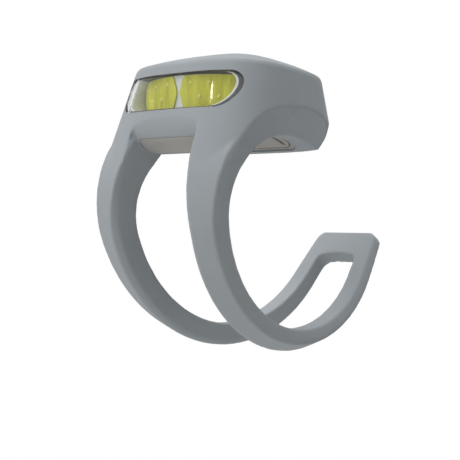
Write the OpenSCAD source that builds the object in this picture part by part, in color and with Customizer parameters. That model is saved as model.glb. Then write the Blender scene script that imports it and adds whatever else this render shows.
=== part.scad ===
// Bicycle headlight on an elastic strap, millimetres.
// The bar lies along X on the origin, the beam leaves along -Y, the head sits above (+Z).
// Two rubber arms leave the front of the head, close towards each other under the bar
// and join in a tail loop that hooks behind the head's rear lip.

/* [Handlebar] */
// Diameter of the bar that the relaxed strap just fits
bar_d = 25.4; // [24.4:0.1:26.4]

/* [Head] */
// Width of the head across its sides, at the lip
head_w = 35.8; // [35:0.1:36.6]
// Depth of the head from its middle to the front, at the lip
head_front = 13.95; // [13.5:0.05:14.4]
// Depth of the head from its middle to the rear, at the lip
head_rear = 12.3; // [12:0.1:12.8]
// Height of the lip that the tail loop hooks under, above the bar
lip_h = 3.3; // [3.1:0.1:3.5]
// Height of the edge between walls and crown, above the lip
rim_h = 7.4; // [7.3:0.1:7.8]
// Rise of the crown above its edge
crown_h = 3.6; // [3.5:0.1:4]
// Thickness of the rubber skin round the light unit
skin_t = 1.8; // [1.7:0.05:1.9]

/* [Strap] */
// Clear width between the two arms at the front
arm_gap = 17.4; // [16.5:0.1:18]
// Width across both arms at the front
arm_span = 26.2; // [25.6:0.1:27]
// Clear width between the arms where they reach the tail
tail_gap = 9.2; // [8.6:0.1:9.8]
// Width across both arms where they reach the tail
tail_span = 17.6; // [17:0.1:18.4]
// Thickness of an arm at its root
arm_t = 6.8; // [6.4:0.1:7.2]
// Thickness of the strap at the tail
tail_t = 2.6; // [2.4:0.1:3]
// Angle of the strap's bending line round the bar, from the rear through the top
bend_angle = 188; // [187:0.5:190]

/* [Lens] */
// Height of the lens
lens_h = 6.35; // [6.2:0.05:6.5]
// Width of the lens, straight across
lens_w = 27.9; // [27.4:0.1:28.2]

/* [Button] */
// Diameter of the soft button in the crown
button_d = 8.4; // [8:0.1:9]
// Travel of the button
button_travel = 0.4; // [0.3:0.05:0.4]

/* [Battery] */
// Diameter of a coin cell
cell_d = 12.5; // [12:0.1:12.5]
// Thickness of a coin cell
cell_t = 2.5; // [2.2:0.1:2.5]

/* [Hidden] */
$fn = 96;

bar_r = bar_d / 2;
far = 40;               // longer than any cut needs to be
fit = 0.05;             // gap round a piece that is seated

// Plan of the head: two half outlines that meet at its widest line
lip_z = bar_r + lip_h;
rim_z = lip_z + rim_h;
mid_y = -1.9;           // where the head is widest
front_n = 3.2;          // squareness of the front
rear_n = 3.3;           // squareness of the rear
ring_n = 48;
side_lean = 0.2;        // walls lean inwards going up, per mm of height
front_lean = 0.2;
rear_lean = 0.3;
mouth_z = bar_r - 1.2;  // flat underside behind the bar
undercut = 0.6;         // slope of the rear wall under the lip
ridge_r = bar_r + 4.7;  // circle round the bar where the side bevel starts
bevel_x = head_w / 2 - 3.65;

// Battery door and the opening for it
door_x = head_w / 2 - 7.9;
door_y0 = -0.693 * bar_r;
door_y1 = mid_y + head_rear - undercut * (lip_z - mouth_z) - skin_t - 0.7;
door_r = bar_r + 0.35;  // the rigid underside lies a little above the rubber
door_t = 1.65;
door_top = door_r + door_t - 0.05;
insert_x = arm_gap / 2 - 1.5; // rigid front of the base that shows between the arms
insert_z = bar_r - 2.3;
roll_r = 5;             // the front under the lens rolls under towards the bar
roll_z = bar_r + 0.9;
roll_y = mid_y - head_front - front_lean * (lip_z - roll_z) + roll_r;
seal_z = door_r + 0.25;
seal_h = 0.6;
port_edge = 0.9;        // frame of the base that shows round the door

// Light unit
core_off = skin_t + 0.08;
core_wall = 1.2;
core_in = core_off + core_wall;
split_z = bar_r + 2.3;  // where base and housing meet
lens_z0 = lip_z - 0.95;
lens_t = 0.8;
lens_flange = 0.9;
flange_off = lens_t + 0.6;
led_t = 0.3;
led_wall = 0.6;         // the white carrier behind the panels
ring_side = 0.35;       // the lens's ring goes in further at its ends
board_side = 0.75;      // and the light board stops short of it
// The light board is bent more than the lens and looks a little down
board_r = 23.8;
board_tilt = 7;
board_y = mid_y - head_front + 2.4 + board_r / cos(board_tilt);
screw_x = head_w / 2 - 5.7;
screw_at = [for (x = [-screw_x, screw_x], y = [mid_y - 4.1, mid_y + head_rear - 6.4]) [x, y]];
screw_z = bar_r + 0.7;  // underside of the screws' heads
cell_y = (door_y0 + door_y1) / 2;
cell_z = bar_r + 2.4;   // underside of the lower cell
pcb_z = cell_z + 2 * cell_t + 0.4;
pcb_t = 0.6;
pcb_y0 = mid_y - 6.7;
switch_h = 1.8;
stem_top = pcb_z + pcb_t + switch_h + 0.4;
crown_z = rim_z + crown_h;
pad_z = crown_z - 1.3;  // underside of the soft button

// Path of the strap's inner face: round the bar, then a larger arc, then straight
loop_y = 9;
loop_z = 3.4;
loop_r = bar_r + norm([loop_y, loop_z]);
turn_a = 180 + atan2(loop_z, loop_y);  // both arcs meet here
loop_end = 330;
tail_len = 8.6;
tip_len = 5.2;          // solid end beyond the hole of the tail
root_a = 128;
bar_len = bar_r * (turn_a - root_a) * PI / 180;
loop_len = loop_r * (loop_end - turn_a) * PI / 180;
path_len = bar_len + loop_len + tail_len;
steps = 64;

function mix(a, b, k) = a + (b - a) * k;
function ease(k) = 1 - pow(1 - k, 1.5);  // closer steps towards the tip
function clamp01(k) = max(0, min(1, k));
function signed_pow(v, e) = (v < 0 ? -1 : 1) * pow(abs(v), e);

// Inner face at length s: [y, z, outward direction as an angle]
function path(s) =
  s < bar_len
    ? let(a = root_a + s / bar_r * 180 / PI) [bar_r * cos(a), bar_r * sin(a), a]
  : s < bar_len + loop_len
    ? let(a = turn_a + (s - bar_len) / loop_r * 180 / PI)
      [loop_y + loop_r * cos(a), loop_z + loop_r * sin(a), a]
  : let(d = s - bar_len - loop_len)
      [loop_y + loop_r * cos(loop_end) - d * sin(loop_end),
       loop_z + loop_r * sin(loop_end) + d * cos(loop_end), loop_end];

// How far along the free strap a place is, 0 where the two arcs meet and 1 at the tip
function along(s) = (s - bar_len) / (path_len - bar_len);
function strap_t(s) =
  along(s) < 0 ? mix(arm_t - 1.4, arm_t, clamp01(-along(s) * 4.2))
  : tail_t + (arm_t - 1.4 - tail_t) * pow(1 - along(s), 1.4);
function gap_half(s) = mix(arm_gap, tail_gap, along(s)) / 2 - 1.9 * pow(clamp01(-along(s) * 4), 2)
  - 1.2 * pow(clamp01(along(s)), 6);
function span_half(s) = mix(arm_span, tail_span, along(s)) / 2
  + 0.8 * pow(clamp01(-along(s) * 3.5), 1.5) - 0.6 * pow(clamp01(along(s)), 6);

function lift(p, x, d) = [x, p[0] + d * cos(p[2]), p[1] + d * sin(p[2])];

// Band across both arms. The arms' outer faces fall away sideways from a line near the gap.
function band_section(s) =
  let(p = path(s), t = strap_t(s), w = span_half(s), r = gap_half(s) + 0.9,
      tip = clamp01((s - path_len + 2) / 2), w1 = w - 1.6 * tip * tip)
  [lift(p, -w1 + 0.4, 0), lift(p, w1 - 0.4, 0), lift(p, w1, 0.4), lift(p, w1 + 0.6, t - 1.5),
   lift(p, w1 + 0.2, t - 1), lift(p, r, t), lift(p, -r, t), lift(p, -w1 - 0.2, t - 1),
   lift(p, -w1 - 0.6, t - 1.5), lift(p, -w1, 0.4)];

function gap_section(s, s1) =
  let(p = path(s), t = strap_t(s), e = clamp01((s1 - s) / 3), w = gap_half(s) * sqrt(1 - pow(1 - e, 2)) + 0.01)
  [lift(p, -w, -2), lift(p, w, -2), lift(p, w, 0.5), lift(p, w + 0.9, t + 1), lift(p, -w - 0.9, t + 1),
   lift(p, -w, 0.5)];

// Solid through a row of outlines that all have the same number of points
module loft(rings) {
  n = len(rings[0]);
  m = len(rings);
  polyhedron(
    points = [for (r = rings) each r],
    faces = concat(
      [[for (i = [0 : n - 1]) i]],
      [for (k = [0 : m - 2]) for (i = [0 : n - 1]) [k * n + i, (k + 1) * n + i, (k + 1) * n + (i + 1) % n]],
      [for (k = [0 : m - 2]) for (i = [0 : n - 1]) [k * n + i, (k + 1) * n + (i + 1) % n, k * n + (i + 1) % n]],
      [[for (i = [n - 1 : -1 : 0]) (m - 1) * n + i]]));
}

module band() {
  loft([for (k = [0 : steps]) band_section(path_len * ease(k / steps))]);
}

module arm_gap_cut() {
  s0 = bar_r * (146 - root_a) * PI / 180;
  s1 = path_len - tip_len;
  difference() {
    loft([for (k = [0 : steps]) gap_section(s0 + (s1 - s0) * ease(k / steps), s1)]);
    // the gap's upper end is an arch
    translate([0, 0, arch_z + 6]) cube([far, far, 12], center = true);
  }
}
arch_z = bar_r - 1.7;

// The strap beyond its bending line
bend_r = bar_r + strap_t(bar_r * (bend_angle - root_a) * PI / 180) / 2;
knuckle_r = (bend_r - bar_r) / cos(30);
module beyond_bend() {
  rotate([bend_angle, 0, 0]) translate([-far / 2, 0, 0]) cube([far, 2 * far, far]);
  translate([-far / 2, -1, -far]) cube([far, 2 * far, far + bar_r - 4.7]);
  translate([-far / 2, -far, -far - 1]) cube([far, 2 * far, far]);
}
module knuckle(r) {
  rotate([bend_angle, 0, 0]) translate([0, bend_r, 0]) rotate([0, 90, 0]) cylinder(r = r, h = far, center = true);
}

module strap() {
  difference() {
    band();
    arm_gap_cut();
  }
}

// Outline of the head at height z, moved inwards by off
function head_ring(z, off, k = 1) =
  let(up = z - lip_z, low = min(0, up), a = head_w / 2 - side_lean * up - off,
      f = head_front - front_lean * up - off,
      r = max(4, head_rear - rear_lean * max(0, up) + undercut * low - off))
  [for (i = [0 : ring_n - 1]) let(t = 360 * i / ring_n, rear = sin(t) > 0, n = rear ? rear_n : front_n)
    [k * a * signed_pow(cos(t), 2 / n), mid_y + k * (rear ? r : f) * signed_pow(sin(t), 2 / n), z]];

function crown_ring(k, off) = let(h = crown_h * (1 - k * k) - off)
  [for (p = head_ring(rim_z, off, k)) [p[0], p[1], rim_z + h]];

// The head as a solid block, moved inwards by off
module head_block(off = 0, z0 = mouth_z) {
  loft([for (r = concat(
    [for (z = concat(z0 < mouth_z - 2 ? [z0, mouth_z] : [z0], [lip_z, rim_z - off - 0.5])) head_ring(z, off)],
    [for (k = [0.985, 0.94, 0.85, 0.72, 0.56, 0.36, 0.12]) crown_ring(k, off)])) r]);
}

// The same walls without a crown, for cutting layers out of the front
module wall_block(off = 0) {
  loft([for (z = [mouth_z - 1, lip_z, rim_z + 3]) head_ring(z, off)]);
}

module bar(r = bar_r, l = far) {
  rotate([0, 90, 0]) cylinder(r = r, h = l, center = true);
}

// Bevel of the head's sides round the bar, moved inwards by off
module side_bevel(off = 0) {
  for (m = [0, 1]) mirror([m, 0, 0])
    rotate([0, 90, 0])
      rotate_extrude()
        polygon([[0, bevel_x - off], [bar_r, bevel_x - off], [ridge_r + off, head_w / 2 - off],
          [ridge_r + off, far], [0, far]]);
}

// Outline of the lens seen from the front, moved outwards by grow and in at its ends by side
function arc(cx, cz, r, a0, a1, n = 8) = [for (i = [0 : n]) let(a = mix(a0, a1, i / n)) [cx + r * cos(a), cz + r * sin(a)]];
module lens_outline(grow = 0, side = 0) {
  w = lens_w / 2 + grow - side;
  z0 = lens_z0 - grow;
  z1 = lens_z0 + lens_h + grow;
  r1 = 2.3 + grow;
  r2 = 4 + grow;
  polygon(concat(arc(w - r1, z1 - r1, r1, 0, 90), arc(-w + r1, z1 - r1, r1, 90, 180),
    arc(-w + r2, z0 + r2, r2, 180, 270), arc(w - r2, z0 + r2, r2, 270, 360)));
}
module lens_prism(grow = 0, side = 0) {
  translate([0, mid_y - 3, 0]) rotate([90, 0, 0]) linear_extrude(far) lens_outline(grow, side);
}
// Part of the head's front wall between two depths, with the lens's outline
module front_layer(off0, off1, grow = 0, side = 0) {
  difference() {
    intersection() {
      wall_block(off0);
      lens_prism(grow, side);
    }
    wall_block(off1);
  }
}

module box(x0, x1, y0, y1, z0, z1) {
  translate([x0, y0, z0]) cube([x1 - x0, y1 - y0, z1 - z0]);
}
module on_crown() {
  translate([0, mid_y, 0]) children();
}

module silicone_body() color([0.62, 0.64, 0.66]) {
  difference() {
    intersection() {
      head_block(0, -10);
      union() {
        difference() {
          box(-far, far, -far, far, mouth_z, far);
          side_bevel();
        }
        // the front goes down to the bar between the arms
        box(-arm_gap / 2 - 1, arm_gap / 2 + 1, -far, -6, bar_r - 5.1, split_z);
        arm_stubs();
      }
    }
    bar();
    front_roll();
    // room for the light unit
    difference() {
      head_block(skin_t, mouth_z - 1);
      bar(bar_r + 1.5);
      side_bevel(1.5);
      front_roll(1.5);
    }
    box(-door_x - port_edge - fit, door_x + port_edge + fit, door_y0 - port_edge - fit,
      door_y1 + port_edge * 0.6 + fit, 0, split_z);
    front_layer(-1, lens_t - fit, fit);
    front_layer(lens_t - fit, skin_t + 0.5, lens_flange + fit);
    on_crown() cylinder(d = button_d + 2 * fit, h = far);
    for (p = screw_at) translate([p[0], p[1], screw_z - 0.1]) cylinder(r = 1.3, h = 3);
    box(-insert_x - fit, insert_x + fit, -far, door_y0, 0, insert_z + fit);
    box(-insert_x - fit, insert_x + fit, roll_y - 1.1, door_y0, 0, mouth_z);
  }
}
// The front rolls under between the arms, moved into the head by off
module front_roll(off = 0) {
  difference() {
    box(-arm_gap / 2 + 0.7 - off, arm_gap / 2 - 0.7 + off, -far, roll_y + 3, -far, roll_z);
    translate([0, roll_y, roll_z]) rotate([0, 90, 0]) cylinder(r = roll_r - off, h = far, center = true);
  }
}
// Roots of the arms, from under the head to the bending line
module arm_stubs() {
  difference() {
    // the arms' outer faces fall away sideways
    translate([0, 0, 2.2]) rotate([0, 90, 0]) union() {
      cylinder(r = root_r, h = 19.4, center = true);
      for (m = [0, 1]) mirror([0, 0, m]) translate([0, 0, 9.7]) cylinder(r1 = root_r, r2 = root_r - 2, h = 7.5);
    }
    box(-far, far, -6, far, -far, far);
    box(-far, far, -far, far, 13, far);
    for (m = [0, 1]) mirror([m, 0, 0]) {
      // the arms widen towards the head
      translate([arm_span / 2 + 0.5, -far, 0]) rotate([0, 6.5, 0]) translate([0, 0, -far])
        cube([far, 2 * far, 2 * far]);
      translate([arm_gap / 2 - 0.4, -far, 0]) rotate([0, -6, 0]) translate([-arm_gap / 2, 0, -far])
        cube([arm_gap / 2, 2 * far, 2 * far]);
    }
    beyond_bend();
    knuckle(knuckle_r + fit);
  }
}
root_r = bar_r + arm_t - 1;

module strap_loop() color([0.62, 0.64, 0.66]) {
  intersection() {
    strap();
    union() {
      beyond_bend();
      knuckle(knuckle_r);
    }
  }
}

module power_button() color([0.62, 0.64, 0.66]) {
  intersection() {
    head_block();
    on_crown() translate([0, 0, pad_z]) cylinder(d = button_d, h = 10);
  }
}

module button_plunger() color([0.9, 0.9, 0.88]) on_crown() {
  translate([0, 0, stem_top]) cylinder(r = 1.7, h = 0.45);
  translate([0, 0, stem_top]) cylinder(r = 1.1, h = pad_z - stem_top);
}

module lens() color([0.85, 0.88, 0.86, 0.4]) {
  front_layer(0, lens_t + fit);
  difference() {
    front_layer(lens_t, flange_off, lens_flange);
    lens_prism(-0.2, ring_side);
  }
}

module lens_gasket() color([0.12, 0.12, 0.13]) {
  difference() {
    front_layer(flange_off, core_off - 0.04, lens_flange);
    lens_prism(-0.2, ring_side);
  }
}

// Slice of the bent light board between two depths, within the lens's outline
module board_round(off) {
  translate([0, board_y, lens_z0 + lens_h / 2]) rotate([board_tilt, 0, 0])
    cylinder(r = board_r - off, h = 3 * lens_h, center = true, $fn = 120);
}
module board_layer(off0, off1, inset = 0) {
  difference() {
    intersection() {
      board_round(off0);
      lens_prism(-0.3 - inset, board_side);
      translate([-far, -far, 0]) cube([2 * far, far + mid_y - 3, far]);
    }
    board_round(off1);
  }
}

module led_board() color([0.93, 0.93, 0.9]) {
  board_layer(led_t, led_t + led_wall);
  // end walls forward to the lens
  difference() {
    intersection() {
      wall_block(lens_t + 2 * fit);
      lens_prism(-0.3, board_side);
    }
    board_round(led_t + led_wall - 0.01);
    box(-lens_w / 2 + board_side + 0.65, lens_w / 2 - board_side - 0.65, -far, far, -far, far);
  }
}

module led_panels(off0, off1) {
  z1 = lens_z0 + lens_h;
  zm = lens_z0 + 0.53 * lens_h;
  intersection() {
    board_layer(off0, off1, 0.1);
    for (m = [0, 1]) mirror([m, 0, 0]) rotate([90, 0, 0]) linear_extrude(far)
      polygon([[1.4, z1], [0.4, zm], [1.4, lens_z0], [lens_w / 2 - board_side - 0.7, lens_z0],
        [lens_w / 2 - board_side - 0.7, z1]]);
  }
}
// Place of a die on the board: two rows on each side of the middle
die_pitch = 0.125 * lens_w;
die_places = [for (m = [-1, 1]) for (k = [0 : 4])
  [m * (2.8 + (k < 3 ? k : k - 2.5) * die_pitch), lens_z0 + (k < 3 ? 0.73 : 0.37) * lens_h]];
module dies(grow = 0) {
  intersection() {
    board_layer(0.12, led_t + (grow > 0 ? 0.1 : 0));
    for (p = die_places) translate([p[0], mid_y - 3, p[1]]) rotate([90, 0, 0]) cylinder(r = 0.45 + grow, h = far);
  }
}
module led_phosphor() color([0.75, 0.74, 0.3]) {
  difference() {
    led_panels(0, led_t);
    dies(0.02);
  }
}
module led_dies() color([0.85, 0.8, 0.45]) dies();

module core_housing() color([0.25, 0.26, 0.27]) {
  difference() {
    union() {
      difference() {
        head_block(core_off, split_z);
        side_bevel(1.55);
        difference() {
          head_block(core_in, split_z - 1);
          box(-far, far, -far, far, rim_z + crown_h - 2.95, far);
        }
      }
      difference() {
        intersection() {
          wall_block(core_off + 0.3);
          for (p = screw_at) translate([p[0], p[1], split_z]) {
            cylinder(r = 1.5, h = 4.5);
            translate([sign(p[0]) * 2, 0, 2.25]) cube([4, 2.4, 4.5], center = true);
          }
        }
        side_bevel(1.55);
      }
      // ledges that carry the circuit board
      intersection() {
        wall_block(core_off + 0.3);
        for (x = [-1, 1]) translate([x * (head_w / 2 - 5.9), cell_y, pcb_z - 1]) cube([5.2, 5, 2], center = true);
      }
    }
    // opening for the light board
    intersection() {
      union() {
        lens_prism(-0.2, ring_side);
        box(-lens_w / 2 + 4, lens_w / 2 - 4, -far, far, split_z - 1, lens_z0 + 1);
      }
      box(-far, far, -far, screw_at[0][1] - 1.6, 0, far);
    }
    on_crown() cylinder(r = 1.16, h = far);
    on_crown() translate([0, 0, stem_top - 0.4]) cylinder(r = 2.2, h = pad_z - 1 - stem_top + 0.4);
    for (p = screw_at) translate([p[0], p[1], 0]) cylinder(r = 0.6, h = split_z + 3.6);
    box(-2.1, 2.1, flex_y - 0.2, pcb_y0 + 0.5, flex_z, pcb_z + 0.4);
    pcb_outline_cut();
  }
}
module pcb_outline_cut() {
  translate([0, 0, pcb_z]) linear_extrude(pcb_t + 0.1) pcb_outline(fit);
}

module core_base() color([0.25, 0.26, 0.27]) {
  difference() {
    union() {
      difference() {
        head_block(core_off, mouth_z);
        bar(bar_r + 1.5 + fit);
        side_bevel(1.55);
        front_roll(1.55);
      }
      box(-door_x - port_edge, door_x + port_edge, door_y0 - port_edge, door_y1 + port_edge * 0.6, bar_r - 4.2, split_z);
      box(-insert_x, insert_x, mid_y - head_front - 1.2, door_y0 - 0.3, bar_r - 5.1, insert_z);
      box(-insert_x, insert_x, roll_y - 1, door_y0 - 0.3, bar_r - 5.1, mouth_z + 0.5);
    }
    front_roll();
    bar(door_r);
    box(-far, far, 0, far, 0, mouth_z + 0.35);
    box(-far, far, -far, far, split_z, far);
    box(-door_x - fit, door_x + fit, door_y0 - fit, door_y1 + fit, 0, far);
    box(-door_x - 1, door_x + 1, door_y0 - 3, door_y1 + 0.5, bar_r + 1.9, far);
    for (p = screw_at) {
      translate([p[0], p[1], 0]) cylinder(r = 0.65, h = far);
      translate([p[0], p[1], 0]) cylinder(r = 1.2, h = screw_z + 0.7);
    }
  }
}

module base_screws() color("silver") {
  for (p = screw_at) translate([p[0], p[1], 0]) difference() {
    union() {
      translate([0, 0, screw_z]) cylinder(r = 1.1, h = 0.7);
      translate([0, 0, screw_z + 0.6]) cylinder(r = 0.6, h = 4.4);
    }
    for (a = [0, 90]) rotate(a) translate([0, 0, screw_z]) cube([1.4, 0.3, 0.5], center = true);
  }
}

module door_box(inset, z0, z1) {
  box(-door_x + inset, door_x - inset, door_y0 + inset, door_y1 - inset, z0, z1);
}
module battery_cover() color([0.5, 0.5, 0.49]) {
  difference() {
    door_box(0, 0, door_top);
    // the outside follows the bar
    bar(door_r);
    box(-far, far, 0, far, 0, mouth_z + 0.35);
    // hollow above, down to the wall
    difference() {
      door_box(1.5, 0, far);
      bar(door_r + door_t);
      box(-far, far, 5, far, 0, mouth_z + 1.5);
    }
    // grooves to lift the door by
    for (x = [-door_x + 1.7, door_x - 1.7]) box(x - 0.5, x + 0.5, -1.4, 4.4, 0, door_r + 0.5);
    difference() {
      door_box(-1, seal_z, seal_z + seal_h);
      door_box(0.7, 0, far);
    }
  }
}
module cover_seal() color([0.1, 0.1, 0.1]) {
  difference() {
    door_box(0, seal_z, seal_z + seal_h);
    door_box(0.7, 0, far);
  }
}

module coin_cell(z) {
  translate([0, cell_y, z]) {
    cylinder(d = cell_d, h = cell_t - 0.5);
    cylinder(d = cell_d - 2.2, h = cell_t);
  }
}
module coin_cell_upper() color([0.78, 0.78, 0.77]) coin_cell(cell_z + cell_t);
module coin_cell_lower() color([0.78, 0.78, 0.77]) coin_cell(cell_z);

module contact_positive() color("gold") {
  translate([0, cell_y, cell_z + 2 * cell_t]) {
    cylinder(r = 3, h = 0.4);
    translate([-1.2, 0, 0.2]) cube([2.4, 6.5, 0.2]);
  }
}
module contact_negative() color("gold") {
  translate([0, cell_y, door_r + door_t - 0.05]) {
    cylinder(r = 2.6, h = cell_z - door_r - door_t + 0.05);
  }
}

module pcb_outline(grow = 0) {
  x = head_w / 2 - 7.5 + grow;
  y0 = pcb_y0 - grow;
  y1 = mid_y + head_rear - 6.4 + grow;
  r = 3;
  polygon(concat(arc(x - r, y1 - r, r, 0, 90), arc(-x + r, y1 - r, r, 90, 180),
    arc(-x + r, y0 + r, r, 180, 270), arc(x - r, y0 + r, r, 270, 360)));
}
module circuit_board() color([0.1, 0.35, 0.2]) {
  translate([0, 0, pcb_z]) linear_extrude(pcb_t) pcb_outline();
}
module on_board(x, y) {
  translate([x, y, pcb_z + pcb_t]) children();
}
module controller_chip() color([0.08, 0.08, 0.08]) on_board(-5.4, mid_y + 2.4) translate([-1.5, -1.5, 0]) cube([3, 3, 0.8]);
module driver_inductor() color([0.2, 0.2, 0.2]) on_board(5.4, mid_y + 2.4) cylinder(r = 1.6, h = 1.1);
module driver_resistors() color([0.15, 0.15, 0.18]) {
  for (x = [-3.6, 0, 3.6]) on_board(x, mid_y - 4.2) translate([-0.8, -0.4, 0]) cube([1.6, 0.8, 0.45]);
}
module tactile_switch() color([0.15, 0.15, 0.15]) on_board(0, mid_y) difference() {
  translate([-1.7, -1.7, 0]) cube([3.4, 3.4, switch_h]);
  translate([0, 0, 0.3]) cylinder(r = 0.9 + fit, h = 3);
}
module switch_stem() color([0.85, 0.85, 0.8]) on_board(0, mid_y) {
  translate([0, 0, 0.3 + button_travel + 0.05]) cylinder(r = 0.9, h = switch_h + 0.05 - button_travel);
}
// Off the board's front edge, down past the cells and forward to the light board
flex_y = pcb_y0 - 0.95;
flex_z = lens_z0 + 0.6 * lens_h;
flex_front = board_y - (board_r - led_t - led_wall) / cos(board_tilt) - (flex_z + 0.15 - lens_z0 - lens_h / 2) * tan(board_tilt);
module led_flex() color([0.8, 0.5, 0.2]) {
  box(-2, 2, flex_y, pcb_y0, pcb_z, pcb_z + 0.15);
  box(-2, 2, flex_y, flex_y + 0.15, flex_z, pcb_z + 0.15);
  box(-2, 2, flex_front + 0.12, flex_y + 0.15, flex_z, flex_z + 0.15);
}

silicone_body();
strap_loop();
power_button();
button_plunger();
lens();
lens_gasket();
led_board();
led_phosphor();
led_dies();
core_housing();
core_base();
base_screws();
battery_cover();
cover_seal();
coin_cell_upper();
coin_cell_lower();
contact_positive();
contact_negative();
circuit_board();
controller_chip();
driver_inductor();
driver_resistors();
tactile_switch();
switch_stem();
led_flex();
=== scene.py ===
"""Bicycle headlight in a soft grey sleeve with a strap that hooks round the handlebar.

Lengths in the panel are millimetres. The handlebar lies along X on the origin, the beam
leaves along -Y and the head of the light sits above the bar.
"""
import math

import bmesh
import bpy
from bpy.props import FloatProperty, FloatVectorProperty, PointerProperty
from bpy.types import Operator, Panel, PropertyGroup
from mathutils import Matrix, Vector


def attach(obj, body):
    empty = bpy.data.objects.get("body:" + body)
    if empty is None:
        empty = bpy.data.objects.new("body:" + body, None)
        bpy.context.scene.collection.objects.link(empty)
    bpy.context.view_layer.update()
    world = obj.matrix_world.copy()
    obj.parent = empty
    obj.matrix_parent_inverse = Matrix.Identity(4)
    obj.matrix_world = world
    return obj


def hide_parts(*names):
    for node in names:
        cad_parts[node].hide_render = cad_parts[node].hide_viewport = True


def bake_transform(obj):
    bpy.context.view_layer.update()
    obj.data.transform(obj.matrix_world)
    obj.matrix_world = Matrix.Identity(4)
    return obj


bl_info = {
    "name": "Strap-on bicycle headlight",
    "version": (1, 0, 0),
    "blender": (4, 5, 0),
    "location": "3D View > Sidebar > Headlight",
    "description": "Builds a small silicone headlight piece by piece on its packed frame",
    "category": "Object",
}

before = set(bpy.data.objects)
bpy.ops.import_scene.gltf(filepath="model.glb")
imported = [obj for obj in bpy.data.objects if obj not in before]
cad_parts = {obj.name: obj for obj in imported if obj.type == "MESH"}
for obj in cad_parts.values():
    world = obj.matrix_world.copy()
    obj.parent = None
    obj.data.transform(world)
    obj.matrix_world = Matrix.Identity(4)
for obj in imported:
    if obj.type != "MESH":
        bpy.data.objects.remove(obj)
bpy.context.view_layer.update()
MM = 0.001


# ---------------------------------------------------------------- sizes and colours

class HeadlightSizes(PropertyGroup):
    """Sizes of the light in millimetres"""
    bar: FloatProperty(name="Bar radius",
                       description="Radius of the handlebar the relaxed strap fits", default=12.7)
    head_width: FloatProperty(name="Head width",
                              description="Width across the sides, at the lip", default=35.8)
    head_front: FloatProperty(name="Head front",
                              description="From the widest line to the front, at the lip", default=13.95)
    head_rear: FloatProperty(name="Head rear",
                             description="From the widest line to the rear, at the lip", default=12.3)
    lip: FloatProperty(name="Lip height",
                       description="Height of the lip the tail hooks under", default=16.0)
    rim: FloatProperty(name="Rim height",
                       description="Height of the edge between walls and crown", default=23.4)
    crown: FloatProperty(name="Crown rise",
                         description="How far the crown stands above its rim", default=3.6)
    mouth: FloatProperty(name="Underside height",
                         description="Height of the flat underside behind the bar", default=11.5)
    skin: FloatProperty(name="Skin",
                        description="Thickness of the silicone round the light unit", default=1.8)
    voxel: FloatProperty(name="Skin cell",
                         description="Cell size of the remesh that joins head and arms", default=0.27)
    soften: FloatProperty(name="Softening",
                          description="Passes that soften the ridges of the sleeve", default=3.0)
    lens_width: FloatProperty(name="Lens width",
                              description="Width of the window, straight across", default=27.9)
    lens_low: FloatProperty(name="Lens foot",
                            description="Height of the window's lower edge", default=15.05)
    lens_high: FloatProperty(name="Lens top",
                             description="Height of the window's upper edge", default=21.4)
    lens_thick: FloatProperty(name="Lens wall",
                              description="Thickness of the clear lens", default=0.8)
    button: FloatProperty(name="Button radius",
                          description="Radius of the soft button in the crown", default=4.2)
    travel: FloatProperty(name="Button travel",
                          description="How far the button goes down", default=0.4)


class HeadlightColours(PropertyGroup):
    """Colours of the main materials"""
    silicone: FloatVectorProperty(name="Silicone", description="Colour of sleeve, strap and button",
                                  subtype="COLOR", size=3, default=(0.318, 0.340, 0.357))
    phosphor: FloatVectorProperty(name="Phosphor", description="Colour of the light panels",
                                  subtype="COLOR", size=3, default=(0.52, 0.51, 0.034))
    board: FloatVectorProperty(name="Light board", description="White board under the panels",
                               subtype="COLOR", size=3, default=(0.66, 0.68, 0.65))
    base: FloatVectorProperty(name="Underside", description="Rigid plate that rests on the bar",
                              subtype="COLOR", size=3, default=(0.36, 0.347, 0.322))


def sizes():
    """The panel's sizes."""
    return bpy.context.scene.headlight_sizes


def colours():
    """The panel's colours."""
    return bpy.context.scene.headlight_colours


# ---------------------------------------------------------------- shapes of the head

# Sizes that follow the photograph and aren't offered in the panel
MID_Y = -1.9  # the head's widest line
FRONT_SQUARE = 3.2  # how square the outline is in front of that line, and behind it
REAR_SQUARE = 3.3
SIDE_LEAN = 0.2  # how much the walls lean in, per unit of height
FRONT_LEAN = 0.2
REAR_LEAN = 0.3
UNDERCUT = 0.6  # how much the rear goes in below the lip
WALL_FOOT = 6.0  # where the front wall ends, inside the arms
WALL_TOP = 0.5  # the crown starts this far above the wall's last section
BOARD_BEND = 23.8  # radius of the light board
BOARD_TILT = 7  # degrees by which it looks down
BOARD_DEPTH = 2.4  # from the head's front to the board's middle
ROLL = (-11.33, 13.6)  # axis of the roll below the lens, as y and z
ROLL_RADIUS = 5.0
ROLL_BACK = 3.0  # the roll goes on this far behind its axis
ROLL_HALF = 8.0  # half its width, out into the arms' roots
BEVEL_EDGE = 3.65  # from the head's side to the bevel, at the bar
SHELL_GAP = 1.5  # from the sleeve's outside to the light unit, round the bar
INSERT = 7.2  # half width of the rigid insert between the arms
INSERT_TOP = 10.4
INSERT_REAR = -9.1
BASE_GAP = 0.35  # from the bar to the rigid underside
PLATE = (-10.9, 10.9, -9.7, 5.74)  # rigid underside, as x0, x1, y0, y1
DOOR = (-9.85, 9.85, -8.65, 5.05)
DOOR_GAP = 0.18  # round the door, in the plate
FIT = 0.05  # round what sits in the sleeve
FAR = 30  # past everything
OUTLINE_POINTS = 120


def signed_power(value, exponent):
    """A power that keeps the value's sign."""
    return math.copysign(abs(value) ** exponent, value)


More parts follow.
